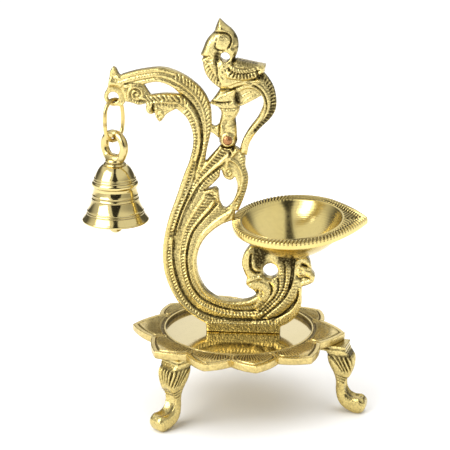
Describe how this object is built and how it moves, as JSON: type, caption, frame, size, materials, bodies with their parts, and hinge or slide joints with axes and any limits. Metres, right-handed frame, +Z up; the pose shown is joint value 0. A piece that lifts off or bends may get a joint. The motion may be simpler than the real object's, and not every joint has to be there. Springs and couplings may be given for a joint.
{
  "type": "standing oil lamp",
  "caption": "Brass oil lamp: openwork swan frame on a lotus plate with three legs, parrot finial, teardrop oil cup and hanging bell.",
  "frame": {"origin": "middle of the lamp's box, on the surface that it stands on", "axes": "+Z up; the openwork frame lies in the XZ plane, the bell hangs towards -X and the cup points towards +X; the front is -Y"},
  "size_m": [0.1545, 0.1228, 0.2077],
  "materials": {
    "cast_brass": "sand-cast relief, dark in the recesses and buffed bright on the ridges",
    "petal_brass": "satin petals with engraved lines round a mirror-polished disc",
    "turned_brass": "turned and polished",
    "wire_brass": "drawn wire, bright",
    "copper": "peened copper rivet, satin",
    "steel": "plain steel screws and washers"
  },
  "bodies": {
    "lamp": {"lotus_plate": "petal_brass", "leg_front_left": "cast_brass", "leg_right": "cast_brass", "leg_back": "cast_brass", "leg_screw_front_left": "steel", "leg_screw_right": "steel", "leg_screw_back": "steel", "swan_frame": "cast_brass", "frame_screw_left": "steel", "frame_screw_right": "steel", "frame_washer_left": "steel", "frame_washer_right": "steel", "parrot_finial": "cast_brass", "parrot_rivet": "copper", "oil_cup": "turned_brass", "cup_stud": "turned_brass"},
    "link": {"hanging_link": "wire_brass"},
    "bell": {"bell_body": "turned_brass", "bell_loop": "turned_brass", "clapper_staple": "wire_brass"},
    "clapper": {"clapper_rod": "wire_brass", "clapper_ball": "turned_brass"}
  },
  "joints": [
    {"name": "link_swing", "type": "hinge", "parent": "lamp", "child": "link", "pos_m": [-0.0599, -0.0062, 0.1659], "axis": [0, 1, 0], "range_deg": [-4, 60]},
    {"name": "bell_swing", "type": "hinge", "parent": "link", "child": "bell", "pos_m": [-0.0599, -0.0062, 0.14285], "axis": [-0.5592, -0.829, 0], "range_deg": [-30, 10]},
    {"name": "clapper_swing", "type": "hinge", "parent": "bell", "child": "clapper", "pos_m": [-0.0599, -0.0062, 0.1218], "axis": [0, 1, 0], "range_deg": [-15, 15]}
  ]
}
